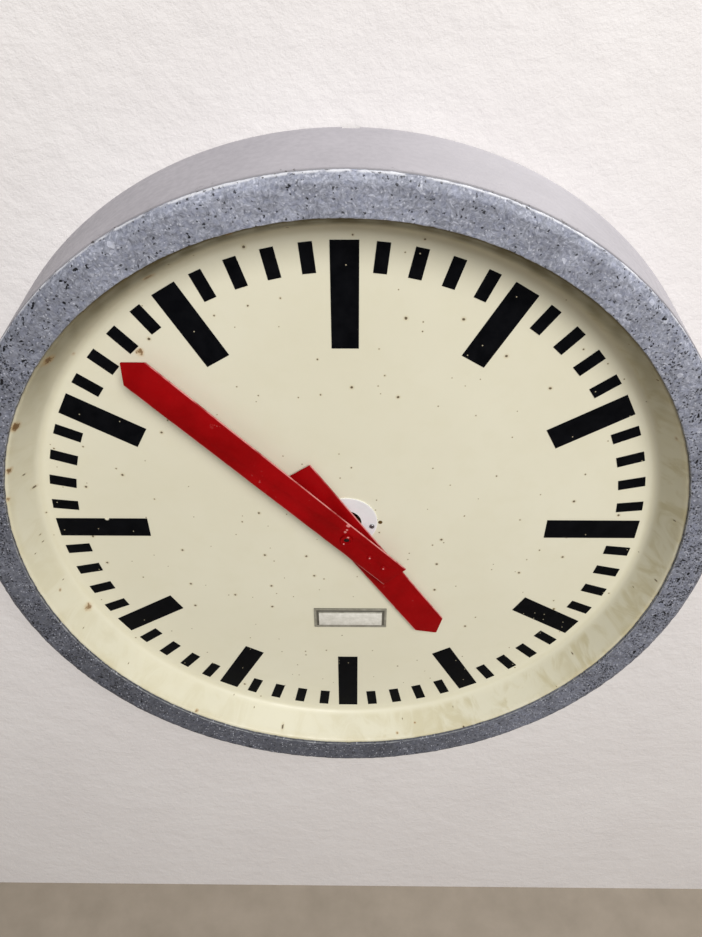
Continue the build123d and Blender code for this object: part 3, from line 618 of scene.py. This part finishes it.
dialLook = {
    "cream": ((0.720, 0.688, 0.540), (0.755, 0.728, 0.585)), "mottle": (0.68, 0.645, 0.475),
    "flank": (0.330, 0.334),  # radii where the dished rim starts
    "smear": (0.50, 0.43, 0.22), "yellow": (0.50, 0.42, 0.20), "yellowRadii": (0.342, 0.3475),
    # painted shadow on the upper flank, painted shade in the crease
    "shadowOlive": (0.092, 0.070, 0.018), "shadowRadii": (0.329, 0.341), "shadowHeights": (0.12, 0.32),
    "creaseShade": (0.50, 0.45, 0.26), "creaseShadeStart": (0.322, 0.3275), "creaseShadeEnd": (0.331, 0.327),
    "speck": (0.07, 0.042, 0.018), "speckHalo": (0.50, 0.40, 0.20),
    "rust": (0.16, 0.075, 0.018), "rustHalo": (0.52, 0.30, 0.08), "chip": (0.10, 0.055, 0.012),
}


def dishGrimeAndShade(finish, colour):  # smears, a yellowed lip, a painted shadow on the upper flank and painted shade in the crease
    look = dialLook
    away = finish.radius()
    onFlank = finish.fade(away, *look["flank"])
    drawn = finish.noise(34, 4, 0.6, 1.2, finish.stretched((1, 0.35, 1.0), (4, 0, 0)))
    smears = finish.fade(drawn, 0.42, 0.66)
    side = finish.fade(finish.coordinate("X"), -0.1, 0.25, 0.15, 0.5)
    colour = finish.mix(finish.times(onFlank, smears, side), colour, look["smear"])
    patchy = finish.noise(24, 3, 0.6, 0, finish.stretched((1, 1, 1), (2, 0, 0)))
    yellowed = finish.times(finish.fade(away, *look["yellowRadii"]),
                            finish.fade(patchy, 0.35, 0.65, 0.05, 0.35))
    colour = finish.mix(yellowed, colour, look["yellow"])
    # painted shadow on the upper flank below the ring lip
    upperFlankShadow = finish.times(finish.fade(away, *look["shadowRadii"]),
                         finish.fade(finish.coordinate("Z"), *look["shadowHeights"], 0.0, 0.94))
    colour = finish.mix(upperFlankShadow, colour, look["shadowOlive"])
    # painted shade in the crease at the foot of the dished rim
    creaseShade = finish.times(finish.fade(away, *look["creaseShadeStart"]),
                          finish.fade(away, *look["creaseShadeEnd"], 0.0, 0.16))
    return finish.mix(creaseShade, colour, look["creaseShade"])


def dialSpecks(finish, colour):
    ragged = finish.times(finish.maths("SUBTRACT", finish.noise(520, 3, 0.6), 0.5), 0.035)
    for scale, shift, share, size in dialSettings["speckLayers"]:
        gap, luck = finish.cells(scale, shift)
        chosen = finish.maths("LESS_THAN", luck, share)
        uneven = finish.maths("ADD", gap, ragged)
        spot = finish.times(finish.fade(uneven, size * 0.7, size, 1.0, 0.0), chosen)
        halo = finish.times(finish.fade(gap, size, size * 2.4, 0.3, 0.0), chosen)
        colour = finish.mix(halo, colour, dialLook["speckHalo"])
        colour = finish.mix(finish.times(spot, 0.9), colour, dialLook["speck"])
    return colour


def rustStains(finish, colour):
    rust = finish.noise(190, 5, 0.7)
    for radius, angle, depth, size, strength in dialSettings["stains"]:
        x, z = atClock(radius, angle)
        gap = finish.maths("DIVIDE", finish.distanceTo((x, -depth, z)), size)
        halo = finish.fade(finish.maths("ADD", gap, rust), 0.8, 1.6, strength * 0.6, 0.0)
        core = finish.fade(finish.maths("ADD", finish.times(gap, 0.75), finish.times(rust, 1.6)),
                           1.0, 1.22, strength, 0.0)
        colour = finish.mix(halo, colour, dialLook["rustHalo"])
        colour = finish.mix(core, colour, dialLook["rust"])
    return colour


def dialFinish():
    look = dialLook
    finish = Finish("dialEnamel", 0.36, 0.0, 0.3)
    dark, light = look["cream"]
    colour = finish.ramp(finish.noise(6, 3), [(0.3, dark), (0.7, light)])
    mottle = finish.noise(42, 4, 0.6)
    colour = finish.mix(finish.fade(mottle, 0.42, 0.75, 0.0, 0.2), colour, look["mottle"])
    colour = dishGrimeAndShade(finish, colour)
    colour = dialSpecks(finish, colour)
    colour = rustStains(finish, colour)
    angle, radius, size = dialSettings["chip"]
    x, z = atClock(radius, angle)
    chip = finish.fade(finish.distanceTo((x, -dialFace, z)), size, size + 0.0008, 1.0, 0.0)
    colour = finish.mix(chip, colour, look["chip"])
    roughness = finish.fade(mottle, 0.3, 0.7, 0.32, 0.45)
    normal = finish.bump(finish.noise(35, 3), 0.0005, 0.25)
    return finish.dress(colour, roughness, normal)


def makeDial():
    settings = dialSettings
    dial = turnOutline(roundedOutline(settings["corners"], settings["step"]), settings["turns"])
    cutHole(dial, (0, -dialFace, washerMiddle), settings["hole"], 0.02, 96)
    finishPiece(dial, "dialPan", "case", dialFinish(), ["dial_pan"], 30)


dialFace = depthsOf("dial_washer")[0]
washerLow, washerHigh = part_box("dial_washer")
washerMiddle = (washerLow[2] + washerHigh[2]) / 2
makeDial()


# hands: bar hands in red enamel with soft edges

redSettings = {
    "deep": (0.235, 0.0014, 0.0022), "light": (0.315, 0.0022, 0.0036), "worn": (0.74, 0.30, 0.28),
}

handShape = {"point": 0.03, "rivetHole": 0.00205, "edge": 0.00045}  # point is the tip's width, as a share

handSettings = {
    "hour": {
        "halfWidth": 0.0192, "shoulder": 0.1785, "tip": 0.196, "tail": 0.095, "angle": 146.35,
        "hole": 0.00905, "rivets": (), "node": "hour_hand", "scuffs": (),
    },
    "minute": {
        "halfWidth": 0.017, "shoulder": 0.278, "tip": 0.294, "tail": 0.078, "angle": 316.2,
        "hole": 0.00655, "rivets": (0.0366, 0.0588), "node": "minute_hand",
        "scuffs": ((0.0155, 0.0125, 0.0026), (0.010, 0.0095, 0.0016), (0.0065, 0.0085, 0.0018)),
    },
}


def redFinish(name, hand=None):
    finish = Finish(name, 0.45, 0.0, 0.06)
    cloud = finish.noise(22, 4, 0.6)
    colour = finish.ramp(cloud, [(0.35, redSettings["deep"]), (0.68, redSettings["light"])])
    fine = finish.noise(150, 4, 0.65)
    scuff = finish.times(finish.fade(fine, 0.64, 0.70), finish.fade(finish.noise(17, 2), 0.54, 0.62))
    colour = finish.mix(finish.times(scuff, 0.35), colour, redSettings["worn"])
    if hand:  # the paint is thin and pale along the blade's two long edges, with a painted highlight there too, and scuffed beside the hub
        turn = math.radians(hand["angle"])
        across = finish.maths("SUBTRACT", finish.times(finish.coordinate("X"), math.cos(turn)),
                              finish.times(finish.coordinate("Z"), math.sin(turn)))
        half = hand["halfWidth"]
        # worn paint and a painted highlight along both long edges
        edge = finish.fade(finish.maths("ABSOLUTE", across), half - 0.0010, half - 0.0003)
        patchy = finish.fade(finish.noise(38, 3, 0.6), 0.36, 0.55, 0.15, 0.85)
        colour = finish.mix(finish.times(edge, patchy), colour, redSettings["worn"])
        front = depthsOf(hand["node"])[1]
        for side, along, size in hand["scuffs"]:
            x = side * math.cos(turn) + along * math.sin(turn)
            z = along * math.cos(turn) - side * math.sin(turn)
            gap = finish.maths("ADD", finish.distanceTo((x, -front, z)), finish.times(fine, 0.003))
            mark = finish.fade(gap, size + 0.0009, size + 0.0016, 0.75, 0.0)
            colour = finish.mix(mark, colour, redSettings["worn"])
    roughness = finish.fade(finish.noise(80, 4), 0.3, 0.7, 0.38, 0.55)
    normal = finish.bump(finish.noise(240, 4, 0.6), 0.00035, 0.5)
    return finish.dress(colour, roughness, normal)


def paintedMetal(name, spots):  # red paint with pale spots, each a place on the face, a depth and a size: bare worn paint on the hub, painted highlights on the rivet heads
    finish = Finish(name, 0.45, 0.0, 0.06)
    tone = finish.noise(420, 4, 0.65)
    colour = finish.ramp(tone, [(0.35, redSettings["deep"]), (0.68, redSettings["light"])])
    for x, z, depth, size in spots:
        gap = finish.maths("ADD", finish.distanceTo((x, -depth, z)), finish.times(tone, 0.0012))
        bareAndHighlight = finish.fade(gap, size * 0.8 + 0.0005, size * 1.15 + 0.0007, 0.95, 0.0)
        colour = finish.mix(bareAndHighlight, colour, redSettings["worn"])
    return finish.dress(colour, finish.fade(tone, 0.3, 0.7, 0.36, 0.55), finish.bump(tone, 0.0002, 0.5))


redEnamel = redFinish("redEnamel")


def makeHand(name, settings, body):
    low, high = -settings["tail"], settings["shoulder"]
    back, front = depthsOf(settings["node"])
    sheet = front - back
    middle = -(back + front) / 2
    hand = addBlock((0, middle, (low + high) / 2), (2 * settings["halfWidth"], sheet, high - low))
    editFaces(hand, lambda normal: normal.z > 0.9)
    bpy.ops.mesh.extrude_region_move(TRANSFORM_OT_translate={"value": (0, 0, settings["tip"] - high)})
    bpy.ops.transform.resize(value=(handShape["point"], 1, 1), center_override=(0, middle, settings["tip"]))
    bpy.ops.object.mode_set(mode="OBJECT")
    holes = [(settings["hole"], 0.0)] + [(handShape["rivetHole"], -reach) for reach in settings["rivets"]]
    for radius, up in holes:
        cutHole(hand, (0, middle, up), radius, 0.01, 48)
    softenEdges(hand, handShape["edge"], 3)
    hand.rotation_euler = (0, math.radians(settings["angle"]), 0)
    material = redFinish(name + "Enamel", settings)
    finishPiece(hand, name, body, material, [settings["node"]], 30)


makeHand("hourHand", handSettings["hour"], "hour")
makeHand("minuteHand", handSettings["minute"], "minute")


# badge: plain plate with a sunk border and a raised blank bar

badgeSettings = {
    "middle": (0.0035, -0.144), "plate": (0.088, 0.032), "barHeight": 0.0215,
    "back": 0.057, "plateFace": 0.0586, "barFace": 0.0606, "taper": (0.98, 0.93),
    "border": 0.0022, "slope": 0.0010, "sunk": 0.0006,
}


def badgeFinish():
    finish = Finish("badgeCasting", 0.45, 0.0, 0.5)
    depth = finish.coordinate("Y")
    face = finish.fade(depth, -0.0596, -0.0604)
    # painted shadow on the sunk floor and sides round the raised bar
    sunk = finish.fade(depth, -0.0584, -0.0581)
    worn = finish.noise(160, 4, 0.65)
    colour = finish.ramp(worn, [(0.3, (0.20, 0.19, 0.15)), (0.7, (0.33, 0.315, 0.26))])
    bright = finish.ramp(worn, [(0.3, (0.60, 0.585, 0.52)), (0.7, (0.80, 0.78, 0.72))])
    colour = finish.mix(finish.times(sunk, 0.8), colour, (0.06, 0.056, 0.045))
    colour = finish.mix(face, colour, bright)
    normal = finish.bump(finish.noise(300, 3), 0.0003, 0.5)
    return finish.dress(colour, finish.fade(worn, 0.3, 0.7, 0.35, 0.55), normal)


def makeBadge():
    settings = badgeSettings
    x, z = settings["middle"]
    width, height = settings["plate"]
    thick = settings["plateFace"] - settings["back"]
    badge = addBlock((x, -(settings["back"] + settings["plateFace"]) / 2, z), (width, thick, height))
    editFaces(badge, lambda normal: normal.y < -0.9)
    border, slope, sunk = settings["border"], settings["slope"], settings["sunk"]
    bpy.ops.mesh.inset(thickness=border, depth=0)
    bpy.ops.mesh.inset(thickness=slope, depth=-sunk)
    bpy.ops.mesh.inset(thickness=(height - settings["barHeight"]) / 2 - border - slope, depth=0)
    rise = settings["barFace"] - settings["plateFace"] + sunk
    bpy.ops.mesh.extrude_region_move(TRANSFORM_OT_translate={"value": (0, -rise, 0)})
    sideTaper, endTaper = settings["taper"]
    bpy.ops.transform.resize(value=(sideTaper, 1, endTaper), center_override=(x, -settings["barFace"], z))
    bpy.ops.object.mode_set(mode="OBJECT")
    softenEdges(badge, 0.0003, 2, 25)
    finishPiece(badge, "blankBadge", "case", badgeFinish(), ["badge_plate"], 35)


makeBadge()


# finishes for the parts that keep their own shape

markerChip = (-0.262, -0.0575, 0.0125)  # on the strip at nine


def markerFinish():
    finish = Finish("blackMarker", 0.55, 0.0, 0.04)
    wear = finish.noise(70, 4, 0.6)
    colour = finish.ramp(wear, [(0.3, (0.0016, 0.0019, 0.0028)), (0.7, (0.0042, 0.0045, 0.0060))])
    gap, luck = finish.cells(80, 1.7)
    spot = finish.times(finish.fade(gap, 0.04, 0.055, 1.0, 0.0), finish.maths("LESS_THAN", luck, 0.14))
    colour = finish.mix(finish.times(spot, 0.85), colour, (0.52, 0.47, 0.33))
    chip = finish.fade(finish.distanceTo(markerChip), 0.0016, 0.0030, 1.0, 0.0)
    colour = finish.mix(chip, colour, (0.72, 0.69, 0.56))
    return finish.dress(colour, finish.fade(wear, 0.3, 0.7, 0.4, 0.6), finish.bump(wear, 0.0002, 0.4))


def washerFinish():
    finish = Finish("whiteWasher", 0.4, 0.0, 0.4)
    cloud = finish.noise(60, 4, 0.6)
    colour = finish.ramp(cloud, [(0.3, (0.73, 0.715, 0.735)), (0.7, (0.80, 0.785, 0.80))])
    away = finish.radius(0.0, washerMiddle)
    outer = (washerHigh[0] - washerLow[0]) / 2
    # painted highlights along the outer rim and the edge of the hole
    rimHighlights = finish.maths("MAXIMUM", finish.fade(away, outer - 0.0014, outer - 0.0006),
                        finish.fade(away, outer / 2 + 0.0006, outer / 2))
    colour = finish.mix(finish.times(rimHighlights, 0.75), colour, (0.88, 0.88, 0.87))
    return finish.dress(colour, finish.fade(cloud, 0.3, 0.7, 0.32, 0.5), finish.bump(cloud, 0.0002, 0.4))


def metalFinish(name, dark, light, roughness, grain, scale=90):
    finish = Finish(name, roughness, 1.0)
    tone = finish.noise(scale, 4, 0.6)
    colour = finish.ramp(tone, [(0.3, dark), (0.7, light)])
    brushed = finish.noise(scale * 5, 2, 0.5, 0, finish.stretched(grain))
    rough = finish.fade(tone, 0.3, 0.7, roughness - 0.08, roughness + 0.12)
    return finish.dress(colour, rough, finish.bump(brushed, 0.00012, 0.5))


def galvanisedFinish():
    finish = Finish("galvanisedSheet", 0.42, 0.85)
    _, tone = finish.cells(95)
    colour = finish.ramp(tone, [(0.1, (0.45, 0.46, 0.47)), (0.9, (0.56, 0.57, 0.58))])
    stain = finish.fade(finish.noise(11, 5, 0.65), 0.52, 0.72, 0.0, 0.5)
    colour = finish.mix(stain, colour, (0.30, 0.27, 0.23))
    return finish.dress(colour, finish.fade(tone, 0.0, 1.0, 0.42, 0.50),
                        finish.bump(finish.noise(300, 3), 0.0001, 0.4))


def copperFinish():
    finish = Finish("copperWinding", 0.35, 0.8)
    wires = finish.tree.nodes.new("ShaderNodeTexWave")
    wires.bands_direction = "X"
    wires.inputs["Scale"].default_value = 520
    wires.inputs["Distortion"].default_value = 0.6
    finish.tree.links.new(finish.place, wires.inputs["Vector"])
    colour = finish.ramp(wires.outputs["Fac"], [(0.1, (0.16, 0.05, 0.018)), (0.8, (0.62, 0.25, 0.10))])
    return finish.dress(colour, finish.fade(finish.noise(90), 0.3, 0.7, 0.28, 0.45),
                        finish.bump(wires.outputs["Fac"], 0.0003, 0.9))


def yokeFinish():
    finish = Finish("laminatedIron", 0.5, 0.9)
    sheets = finish.fade(finish.maths("FRACT", finish.times(finish.coordinate("Y"), 1000.0)), 0.0, 0.16)
    tone = finish.noise(80, 4)
    colour = finish.ramp(tone, [(0.3, (0.13, 0.13, 0.135)), (0.7, (0.24, 0.235, 0.235))])
    colour = finish.mix(sheets, (0.03, 0.03, 0.032), colour)
    return finish.dress(colour, finish.fade(tone, 0.3, 0.7, 0.4, 0.6), finish.bump(sheets, 0.0002, 0.7))


def mouldedFinish(name, dark, light, roughness, depth=0.0002):
    finish = Finish(name, roughness)
    tone = finish.noise(50, 3, 0.55)
    colour = finish.ramp(tone, [(0.3, dark), (0.7, light)])
    grain = finish.noise(900, 2)
    return finish.dress(colour, finish.fade(tone, 0.3, 0.7, roughness - 0.06, roughness + 0.1),
                        finish.bump(grain, depth, 0.5))


def dustyScrewFinish():
    finish = Finish("zincScrew", 0.4, 0.9)
    tone = finish.noise(260, 4, 0.6)
    colour = finish.ramp(tone, [(0.3, (0.16, 0.16, 0.17)), (0.7, (0.42, 0.42, 0.43))])
    return finish.dress(colour, finish.fade(tone, 0.3, 0.7, 0.3, 0.55), finish.bump(tone, 0.0001, 0.5))


def darkSteelFinish():
    finish = Finish("blackenedSteel", 0.55, 0.7)
    tone = finish.noise(300, 4, 0.6)
    colour = finish.ramp(tone, [(0.3, (0.012, 0.010, 0.010)), (0.7, (0.05, 0.042, 0.04))])
    return finish.dress(colour, finish.fade(tone, 0.3, 0.7, 0.45, 0.7), finish.bump(tone, 0.0001, 0.5))


blackMarker = markerFinish()
zincScrew = dustyScrewFinish()
brassPlate = metalFinish("brassPlate", (0.42, 0.30, 0.11), (0.66, 0.50, 0.22), 0.32, (1, 1, 8))
turnedSteel = metalFinish("turnedSteel", (0.30, 0.30, 0.31), (0.52, 0.52, 0.54), 0.28, (1, 12, 1))
galvanisedSheet = galvanisedFinish()
blackenedSteel = darkSteelFinish()
creamPlastic = mouldedFinish("creamPlastic", (0.52, 0.48, 0.36), (0.66, 0.62, 0.50), 0.45)
blackRubber = mouldedFinish("blackRubber", (0.010, 0.010, 0.011), (0.028, 0.027, 0.027), 0.75, 0.0003)

hubFace = depthsOf("minute_hub")[1]
rivetFace = depthsOf("tail_rivets")[1]
hubSpots = [(*atClock(0.0052, angle), hubFace, size) for angle, size in ((20, 0.0012), (215, 0.0009))]
# painted highlights on the tail rivet heads
rivetHighlights = [(*atClock(-reach, handSettings["minute"]["angle"]), rivetFace, 0.0010)
              for reach in handSettings["minute"]["rivets"]]
nodeFinishes = {
    "quarter_markers": blackMarker, "hour_markers": blackMarker, "minute_markers": blackMarker,
    "dial_washer": washerFinish(), "washer_screws": zincScrew, "dial_spacers": brassPlate,
    "ring_screws": zincScrew, "back_plate": galvanisedSheet, "back_screws": zincScrew,
    "hanger_bar": galvanisedSheet, "bar_rivets": zincScrew, "cable_gland": blackRubber,
    "terminal_block": creamPlastic, "terminal_screws": zincScrew, "rear_plate": brassPlate,
    "front_plate": brassPlate, "plate_pillars": brassPlate, "plate_screws": zincScrew,
    "mounting_posts": turnedSteel, "post_nuts": zincScrew, "dust_band": galvanisedSheet,
    "arbor_bushes": brassPlate, "yoke": yokeFinish(), "yoke_studs": turnedSteel, "yoke_nuts": zincScrew,
    "coil_bobbin": creamPlastic, "coil_winding": copperFinish(),
    "rotor_magnet": mouldedFinish("ferrite", (0.03, 0.03, 0.032), (0.06, 0.06, 0.062), 0.5),
    "rotor_pinion": turnedSteel, "intermediate_pinion": turnedSteel, "intermediate_wheel": brassPlate,
    "centre_arbor": blackenedSteel, "centre_wheel": brassPlate, "wheel_collet": brassPlate,
    "cannon_pinion": redEnamel, "motion_stud": turnedSteel, "stud_collar": brassPlate,
    "stud_clip": zincScrew, "minute_wheel": brassPlate, "minute_pinion": turnedSteel,
    "hour_wheel": brassPlate, "hour_pipe": brassPlate, "hour_hub": blackenedSteel,
    "hour_hub_rivets": redEnamel, "minute_hub": paintedMetal("paintedHub", hubSpots),
    "hub_set_screw": redEnamel, "minute_counterweight": redEnamel,
    "tail_rivets": paintedMetal("paintedRivets", rivetHighlights),
}
for name, material in nodeFinishes.items():
    data = nodes[name].data
    data.materials.clear()
    data.materials.append(material)
print("finishes given to", len(nodeFinishes), "parts")


# stage: white plaster wall seen from the front only, pale floor, soft light from above right

stageSettings = {
    "floorHeight": -0.9937, "wallPlace": 0.0006, "size": 9.0, "aim": (0, -0.05, 0),
    "key": (149, 1.9, (0.85, -2.75, 2.45), (1.0, 0.985, 0.96)),  # power, size, place, colour
    "back": (40, 1.6, (1.2, 1.6, 1.4), (1.0, 0.99, 0.97)),
    "worldLight": 0.203, "worldColour": (0.93, 0.95, 1.0, 1),
}


def wallFinish():
    finish = Finish("plasterWall", 0.8, 0.0, 0.2)
    tone = finish.noise(5, 5, 0.6)
    colour = finish.ramp(tone, [(0.3, (0.765, 0.732, 0.727)), (0.7, (0.805, 0.776, 0.771))])
    normal = finish.bump(finish.noise(28, 6, 0.7), 0.006, 0.5)
    material = finish.dress(colour, None, normal)
    behind = finish.tree.nodes.new("ShaderNodeNewGeometry").outputs["Backfacing"]
    clear = finish.tree.nodes.new("ShaderNodeBsdfTransparent")
    choose = finish.tree.nodes.new("ShaderNodeMixShader")
    output = finish.tree.nodes["Material Output"]
    finish.tree.links.new(behind, choose.inputs[0])
    finish.tree.links.new(finish.shader.outputs[0], choose.inputs[1])
    finish.tree.links.new(clear.outputs[0], choose.inputs[2])
    finish.tree.links.new(choose.outputs[0], output.inputs["Surface"])
    return material


def floorFinish():
    finish = Finish("paleFloor", 0.6, 0.0, 0.3)
    tone = finish.noise(12, 5, 0.6)
    return finish.dress(finish.ramp(tone, [(0.3, (0.235, 0.20, 0.157)), (0.7, (0.29, 0.247, 0.198))]))


def addPlane(name, size, place, turn, material):
    deselectAll()
    bpy.ops.mesh.primitive_plane_add(size=size, location=place, rotation=turn)
    plane = bpy.context.object
    plane.name = name
    plane.data.materials.append(material)
    return plane


def addLight(name, power, size, place, colour):
    lampData = bpy.data.lights.new(name, "AREA")
    lampData.energy = power
    lampData.size = size
    lampData.color = colour
    lamp = bpy.data.objects.new(name, lampData)
    lamp.location = place
    lamp.rotation_euler = (Vector(stageSettings["aim"]) - lamp.location).to_track_quat("-Z", "Y").to_euler()
    bpy.context.scene.collection.objects.link(lamp)


stage = stageSettings
wall = addPlane("wall", stage["size"], (0, stage["wallPlace"], 1.0), (math.pi / 2, 0, 0), wallFinish())
wall.visible_shadow = False
addPlane("floor", stage["size"], (0, -1.0, stage["floorHeight"]), (0, 0, 0), floorFinish())
addLight("keyLight", *stage["key"])
addLight("backLight", *stage["back"])
world = bpy.data.worlds.new("studio")
world.use_nodes = True
background = world.node_tree.nodes["Background"]
background.inputs["Color"].default_value = stage["worldColour"]
background.inputs["Strength"].default_value = stage["worldLight"]
bpy.context.scene.world = world
bpy.context.scene.view_settings.view_transform = "Standard"  # colours come out as they are mixed
print("stage set")

deselectAll()
